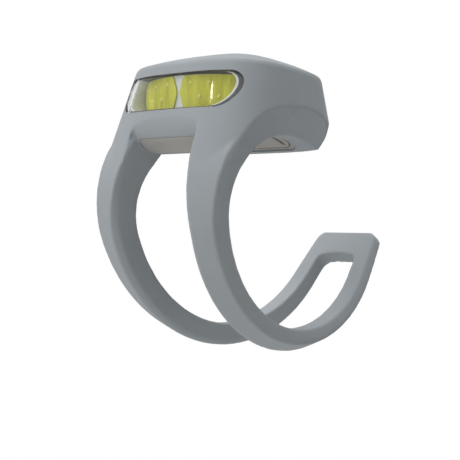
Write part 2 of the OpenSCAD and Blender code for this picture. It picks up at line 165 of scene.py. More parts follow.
def head_reach(z, inset):
    """Half width, front depth and rear depth of the head at height z."""
    s = sizes()
    up = z - s.lip
    half = s.head_width / 2 - SIDE_LEAN * up - inset
    front = s.head_front - FRONT_LEAN * up - inset
    rear = s.head_rear - REAR_LEAN * max(0.0, up) + UNDERCUT * min(0.0, up) - inset
    return half, front, max(4.0, rear)


def head_outline(z, inset=0.0, share=1.0, lift=0.0):
    """The head's outline at height z, made smaller by inset or to a share of its size."""
    half, front, rear = head_reach(z, inset)
    points = []
    for i in range(OUTLINE_POINTS):
        t = 2 * math.pi * i / OUTLINE_POINTS
        behind = math.sin(t) > 0
        n = REAR_SQUARE if behind else FRONT_SQUARE
        points.append(Vector((
            share * half * signed_power(math.cos(t), 2 / n),
            MID_Y + share * (rear if behind else front) * signed_power(math.sin(t), 2 / n),
            z + lift)))
    return points


def front_wall(x, z, inset=0.0):
    """Y of the head's front wall."""
    half, front, _ = head_reach(z, inset)
    return MID_Y - front * (1 - min(1.0, abs(x / half)) ** FRONT_SQUARE) ** (1 / FRONT_SQUARE)


def crown_rise(share, turn):
    """Height of the crown above its rim. It is fuller at the rear than at the front."""
    return sizes().crown * (1 - share ** (2.05 + 0.4 * turn))


def crown_outlines(inset):
    """Smaller and smaller outlines up to the top of the crown."""
    rings = []
    for share in (0.985, 0.955, 0.91, 0.85, 0.77, 0.67, 0.55, 0.41, 0.26, 0.1):
        ring = head_outline(sizes().rim, inset, share, lift=-inset)
        for i, point in enumerate(ring):
            point.z += crown_rise(share, math.sin(2 * math.pi * i / len(ring)))
        rings.append(ring)
    return rings


def crown_height(x, y):
    """Height of the crown over a place, y from the middle of the head."""
    half, front, rear = head_reach(sizes().rim, 0.0)
    n, reach = (REAR_SQUARE, rear) if y > 0 else (FRONT_SQUARE, front)
    share = max(1e-6, ((abs(x) / half) ** n + (abs(y) / reach) ** n) ** (1 / n))
    turn = math.copysign(min(1.0, abs(y) / (share * reach)) ** (n / 2), y)
    return sizes().rim + crown_rise(share, turn)


# ---------------------------------------------------------------- the strap's path

LOOP_Y, LOOP_Z = 9.0, 3.4  # centre of the wide bend behind the bar
ROOT = math.radians(128)  # where the arms start inside the head
LOOP_END = math.radians(330)
TAIL = 9.8  # straight length after the wide bend
TIP = 5.1  # length of the closed end behind the hole
ROOT_SHARE = 0.193  # share of the path over which the roots grow
ARM_EDGE = 0.3  # softening of the arms' edges
TIP_CORNER = 1.4  # length over which the tip's corners are round
TIP_MERGE = 1.7  # length over which the two arms close up
TIP_INNER = 1.6  # rounding of the hole's end, across


def path_parts():
    """Radius at the bar, radius and first angle of the wide bend, and both lengths."""
    r = sizes().bar
    loop = r + math.hypot(LOOP_Y, LOOP_Z)
    turn = math.pi + math.atan2(LOOP_Z, LOOP_Y)
    return r, loop, turn, r * (turn - ROOT), loop * (LOOP_END - turn)


def path_at(s):
    """Y, Z and outward angle of the strap's inner face at length s."""
    r, loop, turn, bar_len, loop_len = path_parts()
    if s < bar_len:
        a = ROOT + s / r
        return r * math.cos(a), r * math.sin(a), a
    if s < bar_len + loop_len:
        a = turn + (s - bar_len) / loop
        return LOOP_Y + loop * math.cos(a), LOOP_Z + loop * math.sin(a), a
    d = s - bar_len - loop_len
    a = LOOP_END
    y, z = LOOP_Y + loop * math.cos(a), LOOP_Z + loop * math.sin(a)
    return y - d * math.sin(a), z + d * math.cos(a), a


def path_length():
    """Length of the strap's inner face from root to tip."""
    _, _, _, bar_len, loop_len = path_parts()
    return bar_len + loop_len + TAIL


def along(s):
    """0 where the strap leaves the bar, 1 at its tip, below 0 up to the head."""
    bar_len = path_parts()[3]
    return (s - bar_len) / (path_length() - bar_len)


def root_share(u):
    """0 below the head, 1 well inside it."""
    return min(1.0, max(0.0, -u / ROOT_SHARE))


def arm_shape(s):
    """Half gap, half span, thickness at the inner ridge, thickness at the outer ridge."""
    u = along(s)
    if u < 0:
        v = root_share(u)
        return (8.7 - 1.4 * v ** 2, 13.5 + 0.75 * v, 5.2 + 1.1 * v ** 1.3, 4.2 + 0.45 * v ** 1.3)
    return (8.7 - 4.6 * u * (0.75 + 0.25 * u) - 0.45 * u ** 6,
            13.1 + 0.4 * (1 - u) ** 3 - 5.7 * u * (0.8 + 0.2 * u) - 0.7 * max(0.0, u) ** 6,
            3.2 + 2.0 * (1 - u) ** 1.5,
            1.8 + 2.4 * (1 - u) ** 1.8)


def softened(points, radius, count=3):
    """A flat outline with its corners rounded."""
    rounded = []
    for i, corner in enumerate(points):
        ends = []
        for other in (points[i - 1], points[(i + 1) % len(points)]):
            way = other - corner
            ends.append(corner + way * min(0.45, radius / max(1e-6, way.length)))
        for k in range(count + 1):
            t = k / count
            rounded.append(ends[0] * (1 - t) ** 2 + corner * (2 * t * (1 - t)) + ends[1] * t ** 2)
    return rounded


def lifted(place, x, d):
    """The point at x, a distance d outside the strap's inner face."""
    y, z, a = place
    return Vector((x, y + d * math.cos(a), z + d * math.sin(a)))


# ---------------------------------------------------------------- mesh helpers

def closed_loop(bm, points):
    """Edges round a row of points."""
    verts = [bm.verts.new(p) for p in points]
    return [bm.edges.new((verts[i], verts[(i + 1) % len(verts)])) for i in range(len(verts))]


def lofted(bm, outlines):
    """A closed skin through a row of outlines, with its ends closed."""
    loops = [closed_loop(bm, o) for o in outlines]
    for one, two in zip(loops, loops[1:]):
        bmesh.ops.bridge_loops(bm, edges=one + two)
    for end in (loops[0], loops[-1]):
        bmesh.ops.contextual_create(bm, geom=end)


def finish_piece(bm, name, material=None, sharp=math.radians(32)):
    """An object in metres from a mesh in millimetres, smooth but for its sharp edges."""
    bmesh.ops.recalc_face_normals(bm, faces=bm.faces)
    bmesh.ops.scale(bm, vec=(MM,) * 3, verts=bm.verts)
    for f in bm.faces:
        f.smooth = True
    for e in bm.edges:
        if len(e.link_faces) == 2 and e.calc_face_angle(0.0) > sharp:
            e.smooth = False
    mesh = bpy.data.meshes.new(name)
    bm.to_mesh(mesh)
    bm.free()
    piece = bpy.data.objects.new(name, mesh)
    bpy.context.scene.collection.objects.link(piece)
    if material:
        mesh.materials.append(material)
    return piece


def settle(piece):
    """Puts the piece's modifiers into its mesh."""
    dg = bpy.context.evaluated_depsgraph_get()
    mesh = bpy.data.meshes.new_from_object(piece.evaluated_get(dg))
    old = piece.data
    piece.modifiers.clear()
    piece.data = mesh
    mesh.name = piece.name
    bpy.data.meshes.remove(old)


def carve(piece, tool, operation="DIFFERENCE"):
    """Cuts the tool out of the piece, or adds it, and removes the tool."""
    cut = piece.modifiers.new("cut", "BOOLEAN")
    cut.operation = operation
    cut.solver = "MANIFOLD"
    cut.object = tool
    settle(piece)
    bpy.data.objects.remove(tool)


def join(piece, other):
    """Puts another piece's skin beside this one's, for the remesh to weld."""
    bm = bmesh.new()
    bm.from_mesh(piece.data)
    bm.from_mesh(other.data)
    bm.to_mesh(piece.data)
    bm.free()
    bpy.data.objects.remove(other)


def reshade(piece, sharp=math.radians(38)):
    """Merges points that nearly meet and marks the sharp edges."""
    bm = bmesh.new()
    bm.from_mesh(piece.data)
    bmesh.ops.remove_doubles(bm, verts=bm.verts, dist=0.002 * MM)
    bmesh.ops.dissolve_degenerate(bm, edges=bm.edges, dist=0.001 * MM)
    for f in bm.faces:
        f.smooth = True
    for e in bm.edges:
        e.smooth = not (len(e.link_faces) == 2 and e.calc_face_angle(0.0) > sharp)
    bm.to_mesh(piece.data)
    bm.free()


def rod(name, radius, x0, x1, segments=128):
    """A cylinder along X."""
    bm = bmesh.new()
    bmesh.ops.create_cone(bm, cap_ends=True, segments=segments, radius1=radius, radius2=radius,
                          depth=x1 - x0)
    bmesh.ops.rotate(bm, verts=bm.verts, matrix=Matrix.Rotation(math.pi / 2, 3, "Y"))
    bmesh.ops.translate(bm, verts=bm.verts, vec=((x0 + x1) / 2, 0, 0))
    return finish_piece(bm, name)


def block(name, low, high, bevel=0.0, upright=False):
    """A box, with its upright edges or all its edges rounded."""
    bm = bmesh.new()
    bmesh.ops.create_cube(bm, size=1.0)
    bmesh.ops.scale(bm, verts=bm.verts, vec=[h - l for l, h in zip(low, high)])
    bmesh.ops.translate(bm, verts=bm.verts, vec=[(h + l) / 2 for l, h in zip(low, high)])
    if bevel:
        edges = [e for e in bm.edges if not upright or abs(e.verts[0].co.z - e.verts[1].co.z) > 1e-6]
        bmesh.ops.bevel(bm, geom=edges, offset=bevel, segments=8, affect="EDGES", profile=0.5, material=-1)
    return finish_piece(bm, name)


def extruded(name, outline, way):
    """A flat outline pushed along a direction."""
    bm = bmesh.new()
    face = bmesh.ops.contextual_create(bm, geom=closed_loop(bm, outline))["faces"]
    end = bmesh.ops.extrude_face_region(bm, geom=face)["geom"]
    bmesh.ops.translate(bm, verts=[g for g in end if isinstance(g, bmesh.types.BMVert)], vec=way)
    return finish_piece(bm, name)


def front_roll(half, inset=0.0):
    """What the front loses below the lens, where it rolls under towards the bar."""
    (y, z), radius, steps = ROLL, ROLL_RADIUS - inset, 40
    first = math.acos(ROLL_BACK / radius)
    turns = [-first - (math.pi - first) * i / steps for i in range(steps + 1)]
    outline = [(-half, y + radius * math.cos(a), z + radius * math.sin(a)) for a in turns]
    outline += [(-half, -FAR, z + 0.1), (-half, -FAR, -10), (-half, y + ROLL_BACK, -10)]
    return extruded("roll", outline, (2 * half, 0, 0))


def light_board(x, z, depth=0.0):
    """Y of the light board, which is bent more than the lens and looks a little down."""
    s = sizes()
    tilt = math.radians(BOARD_TILT)
    middle = MID_Y - s.head_front + BOARD_DEPTH + BOARD_BEND / math.cos(tilt)
    return (middle - math.sqrt((BOARD_BEND - depth) ** 2 - x * x) / math.cos(tilt)
            - (z - (s.lens_low + s.lens_high) / 2) * math.tan(tilt))


def front_sheet(bm, low, high, left, right, near, far, columns=72, surface=None, back_surface=None):
    """A sheet that follows the head's front wall, between heights low and high.

    left and right give its ends at a height, near and far its depths behind the wall.
    """
    surface = surface or front_wall
    back_surface = back_surface or surface
    made = bmesh.ops.create_grid(bm, x_segments=columns, y_segments=30, size=1.0)
    skin = list({f for v in made["verts"] for f in v.link_faces})

    def place(v, depth, surface):
        """Where a point of the flat grid goes."""
        z = low + (high - low) * (0.5 + 0.5 * math.sin(math.pi / 2 * v.co.y))
        x = left(z) + (right(z) - left(z)) * (v.co.x + 1) / 2
        return Vector((x, surface(x, z, depth), z))

    back = bmesh.ops.extrude_face_region(bm, geom=skin)["geom"]
    for v in [g for g in back if isinstance(g, bmesh.types.BMVert)]:
        v.co = place(v, far, back_surface)
    for v in made["verts"]:
        v.co = place(v, near, surface)


def window_half(z, grow=0.0, side=0.0):
    """Half width of the window at a height, moved out by grow and in at its ends by side."""
    s = sizes()
    half, low, high = s.lens_width / 2 + grow - side, s.lens_low - grow, s.lens_high + grow
    top, foot = 2.3 + grow, 4.0 + grow
    if z > high - top:
        return half - top + math.sqrt(max(0.0, top ** 2 - (z - high + top) ** 2))
    if z < low + foot:
        return half - foot + math.sqrt(max(0.0, foot ** 2 - (low + foot - z) ** 2))
    return half


# ---------------------------------------------------------------- materials

def shader(name, colour, roughness, **sockets):
    """A new material: its tree's nodes, its links and its main shader."""
    made = bpy.data.materials.new(name)
    made.use_nodes = True
    nodes, links = made.node_tree.nodes, made.node_tree.links
    main = nodes["Principled BSDF"]
    main.inputs["Base Color"].default_value = (*colour, 1)
    main.inputs["Roughness"].default_value = roughness
    for key, value in sockets.items():
        main.inputs[key.replace("_", " ")].default_value = value
    made.diffuse_color = (*colour, 1)
    return made, nodes, links, main


def noise(nodes, links, scale, detail=3.0, roughness=0.5, stretch=None):
    """A noise pattern on object coordinates."""
    place = nodes.new("ShaderNodeTexCoord")
    source = place.outputs["Object"]
    if stretch:
        mapping = nodes.new("ShaderNodeMapping")
        mapping.inputs["Scale"].default_value = stretch
        links.new(source, mapping.inputs["Vector"])
        source = mapping.outputs["Vector"]
    pattern = nodes.new("ShaderNodeTexNoise")
    pattern.inputs["Scale"].default_value = scale
    pattern.inputs["Detail"].default_value = detail
    pattern.inputs["Roughness"].default_value = roughness
    links.new(source, pattern.inputs["Vector"])
    return pattern.outputs["Fac"]


def ramp(nodes, links, source, stops):
    """A colour for each value of the source."""
    made = nodes.new("ShaderNodeValToRGB")
    links.new(source, made.inputs["Fac"])
    first, last = made.color_ramp.elements[0], made.color_ramp.elements[1]
    for element, (position, colour) in zip((first, last), (stops[0], stops[-1])):
        element.position = position
        element.color = (*colour, 1)
    for position, colour in stops[1:-1]:
        element = made.color_ramp.elements.new(position)
        element.color = (*colour, 1)
    return made.outputs["Color"]


def bumped(nodes, links, main, source, strength, distance):
    """Gives the surface the relief of the source."""
    made = nodes.new("ShaderNodeBump")
    made.inputs["Strength"].default_value = strength
    made.inputs["Distance"].default_value = distance
    links.new(source, made.inputs["Height"])
    links.new(made.outputs["Normal"], main.inputs["Normal"])


def shades(colour, amount):
    """A darker and a lighter shade of a colour."""
    return tuple(c * (1 - amount) for c in colour), tuple(min(1.0, c * (1 + amount)) for c in colour)


def moulded(name, colour, roughness, mottle=0.04, grain=0.15, scale=900.0, **sockets):
    """Moulded plastic or rubber: slight mottling, changing gloss and a fine grain."""
    made, nodes, links, main = shader(name, colour, roughness, **sockets)
    dark, light = shades(colour, mottle)
    links.new(ramp(nodes, links, noise(nodes, links, 140.0, 4.0), [(0.3, dark), (0.7, light)]),
              main.inputs["Base Color"])
    gloss = nodes.new("ShaderNodeMapRange")
    links.new(noise(nodes, links, 320.0, 5.0), gloss.inputs["Value"])
    gloss.inputs["To Min"].default_value = max(0.0, roughness - 0.06)
    gloss.inputs["To Max"].default_value = min(1.0, roughness + 0.06)
    links.new(gloss.outputs["Result"], main.inputs["Roughness"])
    bumped(nodes, links, main, noise(nodes, links, scale, 6.0, 0.6), grain, 0.00004)
    return made


def silicone_finish():
    """Soft, matt grey silicone."""
    return moulded("soft_silicone", colours().silicone, 0.62, mottle=0.025, grain=0.22, scale=2600.0,
                   Sheen_Weight=0.12, Sheen_Roughness=0.5, IOR=1.41, Specular_IOR_Level=0.4)


def metal(name, colour, roughness, brush=None):
    """Metal with a faint brushed pattern."""
    made, nodes, links, main = shader(name, colour, roughness, Metallic=1.0)
    dark, light = shades(colour, 0.08)
    pattern = noise(nodes, links, 500.0, 5.0, 0.6, brush or (1, 1, 1))
    links.new(ramp(nodes, links, pattern, [(0.3, dark), (0.7, light)]), main.inputs["Base Color"])
    bumped(nodes, links, main, pattern, 0.2, 0.00002)
    return made


def clear_plastic():
    """Clear plastic that lets light through to what is behind it."""
    made, nodes, links, main = shader("clear_lens", (0.97, 0.98, 0.97), 0.03, Transmission_Weight=1.0,
                                      IOR=1.46)
    path, clear, mix = (nodes.new("ShaderNodeLightPath"), nodes.new("ShaderNodeBsdfTransparent"),
                        nodes.new("ShaderNodeMixShader"))
    clear.inputs["Color"].default_value = (0.95, 0.96, 0.95, 1)
    links.new(path.outputs["Is Shadow Ray"], mix.inputs["Fac"])
    links.new(main.outputs["BSDF"], mix.inputs[1])
    links.new(clear.outputs["BSDF"], mix.inputs[2])
    links.new(mix.outputs["Shader"], nodes["Material Output"].inputs["Surface"])
    bumped(nodes, links, main, noise(nodes, links, 260.0, 2.0, 0.4), 0.06, 0.00005)
    return made


def phosphor_finish():
    """Yellow light panel with upright streaks."""
    colour = colours().phosphor
    made, nodes, links, main = shader("phosphor_panel", colour, 0.8, Specular_IOR_Level=0.15)
    streaks = noise(nodes, links, 720.0, 3.0, 0.6, (1.0, 1.0, 0.14))
    dark = tuple(c * 0.78 for c in colour)
    pale = (min(1, colour[0] * 1.16), min(1, colour[1] * 1.18), colour[2] * 2.6)
    tones = [(0.34, dark), (0.52, colour), (0.72, pale)]
    links.new(ramp(nodes, links, streaks, tones), main.inputs["Base Color"])
    bumped(nodes, links, main, streaks, 0.6, 0.00012)
    return made


# ---------------------------------------------------------------- base of every operator

class HeadlightOperator:
    """What all steps share"""
    bl_options = {"REGISTER", "UNDO"}

    @classmethod
    def poll(cls, context):
        """Every step needs a scene."""
        return context.scene is not None


class HEADLIGHT_OT_sleeve(HeadlightOperator, Operator):
    """Silicone sleeve with its arms and tail loop, in one skin"""
    bl_idname = "headlight.sleeve"
    bl_label = "Sleeve and strap"

    def head(self):
        """The head, down to where its front wall ends in the arms."""
        s = sizes()
        bm = bmesh.new()
        lofted(bm, [head_outline(z) for z in (WALL_FOOT, s.lip, s.rim - WALL_TOP)] + crown_outlines(0.0))
        return finish_piece(bm, "silicone_sleeve")

    def mouth(self):
        """What is below the head's underside. The front wall goes on down to the arms and the bar."""
        side, rear = 17, -6  # the part of the front wall that stays
        outline = [(-FAR, -FAR), (-side, -FAR), (-side, rear), (side, rear), (side, -FAR), (FAR, -FAR),
                   (FAR, FAR), (-FAR, FAR)]
        return extruded("mouth", [(x, y, 0) for x, y in outline], (0, 0, sizes().mouth))

    def arm(self, side):
        """One arm of the strap, with its half of the tail."""
        steps = 150
        length = path_length()
        outlines = []
        for k in range(steps + 1):
            s = length * (1 - (1 - k / steps) ** 1.3)
            place = path_at(s)
            gap, span, inner, outer = arm_shape(s)
            u = along(s)
            # towards the tip the two arms run into each other
            start = (length - TIP - s) / TIP_MERGE
            if start < 1:
                inward = TIP_INNER * math.sqrt(max(0.0, 1 - (1 - start) ** 2))
                gap = gap - TIP_INNER + inward if start > 0 else -1.5  # past the middle plane
            # the tip's corners are round
            left = (length - s) / TIP_CORNER
            if left < 1:
                span -= 1.3 * (1 - math.sqrt(max(0.0, 1 - (1 - left) ** 2)))
                inner -= 0.5 * (1 - left) ** 2
                outer -= 0.5 * (1 - left) ** 2
            root = root_share(u)
            ridge = gap + (1.0 - 0.65 * max(0.0, u) - 0.95 * root) if start > 0 else 0.0
            brow = span + 0.6 * min(1.0, max(0.0, left)) + 0.5 * root
            outline = [lifted(place, side * gap, 0.0), lifted(place, side * span, 0.0),
                       lifted(place, side * (brow - 0.15), outer * 0.6), lifted(place, side * brow, outer),
                       lifted(place, side * ridge, inner), lifted(place, side * (gap + 0.1), inner * 0.8)]
            outlines.append(softened(outline, ARM_EDGE))
        bm = bmesh.new()
        lofted(bm, outlines)
        return finish_piece(bm, "arm")

    def side_bevels(self, inset=0.0):
        """What the head's sides lose round the bar: less in front, where they run into the arms."""
        s = sizes()
        edge, far = s.head_width / 2 - BEVEL_EDGE - 1.3 * inset, s.head_width / 2 + 6
        bm = bmesh.new()
        for side in (-1, 1):
            outlines = []
            for degrees in range(-30, 217, 3):
                a = math.radians(degrees)
                front = min(1.0, max(0.0, (75 - degrees) / 55))
                slope = 0.777 - 0.5 * (1 - (1 - front) ** 1.6)
                profile = [(edge + slope * (r - s.bar), r) for r in (9.0, s.bar + 10)]
                profile += [(far, s.bar + 10), (far, 9.0)]
                outlines.append([Vector((side * x, -r * math.cos(a), r * math.sin(a)))
                                 for x, r in profile])
            lofted(bm, outlines)
        return finish_piece(bm, "bevels")

    def cavity(self):
        """Room for the light unit."""
        s = sizes()
        bm = bmesh.new()
        lofted(bm, [head_outline(z, s.skin) for z in (s.mouth - 1, s.lip, s.rim - s.skin - WALL_TOP)]
               + crown_outlines(s.skin))
        room = finish_piece(bm, "room")
        carve(room, rod("bar", s.bar + SHELL_GAP, -FAR, FAR))
        carve(room, self.side_bevels(SHELL_GAP))
        carve(room, front_roll(ROLL_HALF + SHELL_GAP, SHELL_GAP))
        return room

    def execute(self, context):
        s = sizes()
        sleeve = self.head()
        carve(sleeve, self.mouth())
        carve(sleeve, self.side_bevels())
        carve(sleeve, front_roll(ROLL_HALF))
        carve(sleeve, rod("bar", s.bar, -FAR, FAR, segments=192))
        for side in (-1, 1):
            join(sleeve, self.arm(side))
        skin = sleeve.modifiers.new("skin", "REMESH")
        skin.mode = "VOXEL"
        skin.voxel_size = s.voxel * MM
        soft = sleeve.modifiers.new("soft", "SMOOTH")
        soft.factor = 0.5
        soft.iterations = int(s.soften)
        settle(sleeve)
        carve(sleeve, self.cavity())
        bm = bmesh.new()
        front_sheet(bm, s.lens_low - 0.03, s.lens_high + 0.03, lambda z: -window_half(z, 0.03),
                    lambda z: window_half(z, 0.03), -4.0, 3.0)
        carve(sleeve, finish_piece(bm, "window"))
        x0, x1, y0, y1 = PLATE
        carve(sleeve, block("port", (x0 - FIT, y0 - FIT, 4), (x1 + FIT, y1 + FIT, 15), 2.4, upright=True))
        carve(sleeve, block("insert_room", (-INSERT - FIT, -FAR, 0),
                            (INSERT + FIT, INSERT_REAR + 0.3, INSERT_TOP + FIT), 0.8))
        bm = bmesh.new()
        bmesh.ops.create_cone(bm, cap_ends=True, segments=96, radius1=s.button + FIT,
                              radius2=s.button + FIT, depth=20)
        bmesh.ops.translate(bm, verts=bm.verts, vec=(0, MID_Y, 34))
        carve(sleeve, finish_piece(bm, "press"))
        sleeve.data.materials.clear()
        sleeve.data.materials.append(silicone_finish())
        reshade(sleeve)
        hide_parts("silicone_body", "strap_loop")
        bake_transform(sleeve)
        return {"FINISHED"}


class HEADLIGHT_OT_button(HeadlightOperator, Operator):
    """Soft round button in the crown"""
    bl_idname = "headlight.button"
    bl_label = "Button"

    def execute(self, context):
        s = sizes()
        bm = bmesh.new()
        bmesh.ops.create_circle(bm, cap_ends=False, segments=96, radius=s.button - 0.02)
        ring = list(bm.edges)
        # a shallow dish inside a low rim, as share of the radius and height
        rings = ((0.985, 0.06), (0.93, 0.0), (0.9, -0.06), (0.8, -0.1), (0.6, -0.06), (0.35, -0.02))
        for share, drop in rings:
            new = bmesh.ops.extrude_edge_only(bm, edges=ring)["geom"]
            ring = [g for g in new if isinstance(g, bmesh.types.BMEdge)]
            for v in {v for e in ring for v in e.verts}:
                flat = Vector((v.co.x, v.co.y, 0)).normalized() * (s.button * share)
                v.co = Vector((flat.x, flat.y, drop))
        bmesh.ops.contextual_create(bm, geom=ring)
        for v in bm.verts:
            v.co.z = crown_height(v.co.x, v.co.y) - 0.05 + v.co.z * 0.6
        rim = [e for e in bm.edges if len(e.link_faces) == 1]
        new = bmesh.ops.extrude_edge_only(bm, edges=rim)["geom"]
        low = {v for g in new if isinstance(g, bmesh.types.BMEdge) for v in g.verts}
        for v in low:
            v.co.z = s.rim + s.crown - 1.3
        bmesh.ops.contextual_create(bm, geom=[g for g in new if isinstance(g, bmesh.types.BMEdge)])
        bmesh.ops.translate(bm, verts=bm.verts, vec=(0, MID_Y, 0))
        pad = finish_piece(bm, "button_pad", silicone_finish())
        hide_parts("power_button")
        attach(pad, "button")
        return {"FINISHED"}


class HEADLIGHT_OT_lens(HeadlightOperator, Operator):
    """Clear lens that wraps round the front, and the seal behind it, near black as painted shade at the
    window's edges
    """
    bl_idname = "headlight.lens"
    bl_label = "Lens"

    def execute(self, context):
        s = sizes()
        bm = bmesh.new()
        front_sheet(bm, s.lens_low, s.lens_high, lambda z: -window_half(z), window_half, 0.0, s.lens_thick)
        rim = [e for e in bm.edges if len(e.link_faces) == 2 and e.calc_face_angle(0.0) > math.radians(50)]
        bmesh.ops.bevel(bm, geom=rim, offset=0.12, segments=2, affect="EDGES", profile=0.5, material=-1,
                        clamp_overlap=True)
        lens = finish_piece(bm, "clear_lens", clear_plastic())
        reshade(lens, math.radians(32))
        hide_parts("lens")
        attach(lens, "head")

        bm = bmesh.new()
        depth = s.lens_thick
        front_sheet(bm, s.lens_low - 0.5, s.lens_high + 0.5, lambda z: -window_half(z, 0.5),
                    lambda z: window_half(z, 0.5), depth + 0.04, s.skin)
        # the seal is a real part, but its near-black colour is painted shade: it stands for the shadow on
        # the silicone's cut edge round the window
        seal = finish_piece(bm, "lens_seal_painted_shade", moulded("seal_rubber_painted_shade", (0.07, 0.07, 0.068), 0.5))
        bm = bmesh.new()
        front_sheet(bm, s.lens_low + 0.15, s.lens_high - 0.2, lambda z: -window_half(z, -0.2, 1.1),
                    lambda z: window_half(z, -0.2, 1.1), 0.2, 2.6)
        carve(seal, finish_piece(bm, "opening"))
        reshade(seal)
        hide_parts("lens_gasket")
        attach(seal, "head")
        return {"FINISHED"}


class HEADLIGHT_OT_panels(HeadlightOperator, Operator):
    """White board, its two yellow light panels and the emitters in them"""
    bl_idname = "headlight.panels"
    bl_label = "Light panels"

    def execute(self, context):
        s = sizes()
        low, high = s.lens_low + 0.3, s.lens_high - 0.3

        def end(z):
            """Half width of the board."""
            return window_half(z, -0.3, 0.75)

        bm = bmesh.new()
        front_sheet(bm, low, high, lambda z: -end(z), end, 0.3, 0.9, surface=light_board)
        # end walls forward to the lens
        for side in (-1, 1):
            ends = (lambda z: side * end(z), lambda z: side * (end(z) - 0.65))
            front_sheet(bm, low, high, *(ends if side < 0 else ends[::-1]), s.lens_thick + 0.1, 0.35,
                        columns=6, back_surface=light_board)
        board = finish_piece(bm, "light_board", moulded("white_board", colours().board, 0.45))
        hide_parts("led_board")
        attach(board, "head")

        def middle(z):
            """Half width of the white gap, narrow at half height."""
            t = (z - (low + high) / 2) / (high - low) * 2
            return 0.4 + 1.0 * abs(t) ** 1.3

        bm = bmesh.new()
        for side in (-1, 1):
            left, right = (middle, (lambda z: window_half(z, -0.35, 1.1)))
            if side < 0:
                left, right = ((lambda z: -window_half(z, -0.35, 1.6)), (lambda z: -middle(z)))
            front_sheet(bm, low + 0.35, high - 0.1, left, right, 0.0, 0.28, columns=48, surface=light_board)
        panels = finish_piece(bm, "light_panels", phosphor_finish())
        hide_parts("led_phosphor")
        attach(panels, "head")

        bm = bmesh.new()
        # in each half three emitters above and two below, between them
        pitch, tall = 0.125 * s.lens_width, s.lens_high - s.lens_low
        for side in (-1, 1):
            for k in range(5):
                x = side * (2.8 + (k if k < 3 else k - 2.5) * pitch)
                z = s.lens_low + (0.73 if k < 3 else 0.37) * tall
                made = bmesh.ops.create_uvsphere(bm, u_segments=20, v_segments=12, radius=0.36)
                bmesh.ops.scale(bm, verts=made["verts"], vec=(1, 0.35, 1))
                bmesh.ops.translate(bm, verts=made["verts"], vec=(x, light_board(x, z, 0.02), z))
        dies = finish_piece(bm, "emitters", moulded("emitter_dome", (0.62, 0.55, 0.10), 0.25))
        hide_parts("led_dies")
        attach(dies, "head")
        return {"FINISHED"}


def saddle(y, lift=0.0):
    """Height of the rigid underside over the bar."""
    r = sizes().bar + BASE_GAP + lift
    over = math.sqrt(max(0.0, r * r - y * y))
    return max(over, sizes().mouth + BASE_GAP + lift) if y > 0 else over


def rounded_outline(x0, x1, y0, y1, radius, count=10):
    """A rectangle with round corners."""
    corners = ((x1 - radius, y1 - radius, 0), (x0 + radius, y1 - radius, 90),
               (x0 + radius, y0 + radius, 180), (x1 - radius, y0 + radius, 270))
    return [Vector((cx + radius * math.cos(math.radians(a + 90 * i / count)),
                    cy + radius * math.sin(math.radians(a + 90 * i / count)), 0))
            for cx, cy, a in corners for i in range(count + 1)]


class HEADLIGHT_OT_underside(HeadlightOperator, Operator):
    """Rigid underside over the bar, with the battery door in it"""
    bl_idname = "headlight.underside"
    bl_label = "Underside and door"

    def plate(self, bm, outline, thick):
        """A plate with a rounded outline, bent over the bar."""
        bmesh.ops.contextual_create(bm, geom=closed_loop(bm, outline))
        for k in range(1, 60):
            y = -11 + 22 * k / 60
            geom = list(bm.verts) + list(bm.edges) + list(bm.faces)
            bmesh.ops.bisect_plane(bm, geom=geom, plane_co=(0, y, 0), plane_no=(0, 1, 0))
        top = bmesh.ops.extrude_face_region(bm, geom=list(bm.faces))["geom"]
        raised = {g for g in top if isinstance(g, bmesh.types.BMVert)}
        for v in bm.verts:
            v.co.z = saddle(v.co.y) + (thick if v in raised else 0.0)

    def execute(self, context):
        s = sizes()
        finish = moulded("underside_plastic", colours().base, 0.5, mottle=0.05, grain=0.3, scale=1500.0)
        bm = bmesh.new()
        self.plate(bm, rounded_outline(*PLATE, 2.3), 1.6)
        base = finish_piece(bm, "base_frame", finish)
        insert = block("insert", (-INSERT, -17, 6), (INSERT, INSERT_REAR, INSERT_TOP), 0.8)
        carve(insert, front_roll(20))
        carve(insert, rod("bar", s.bar + BASE_GAP, -FAR, FAR, segments=192))
        carve(base, insert, "UNION")
        x0, x1, y0, y1 = DOOR
        carve(base, block("hatch", (x0 - DOOR_GAP, y0 - DOOR_GAP, 4), (x1 + DOOR_GAP, y1 + DOOR_GAP, 20),
                          2.0, upright=True))
        base.data.materials.clear()
        base.data.materials.append(finish)
        reshade(base)
        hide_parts("core_base")
        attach(base, "head")

        bm = bmesh.new()
        self.plate(bm, rounded_outline(*DOOR, 1.9), 1.4)
        door = finish_piece(bm, "battery_door", finish)
        for side in (-1, 1):
            x = side * 8.3
            carve(door, block("slot", (x - 0.45, -1.6, 8), (x + 0.45, 4.4, 13.75), 0.3))
        reshade(door)
        edge = door.modifiers.new("edge", "BEVEL")
        edge.width = 0.18 * MM
        edge.segments = 2
        edge.limit_method = "ANGLE"
        edge.angle_limit = math.radians(50)
        settle(door)
        reshade(door)
        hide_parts("battery_cover")
        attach(door, "door")
        return {"FINISHED"}


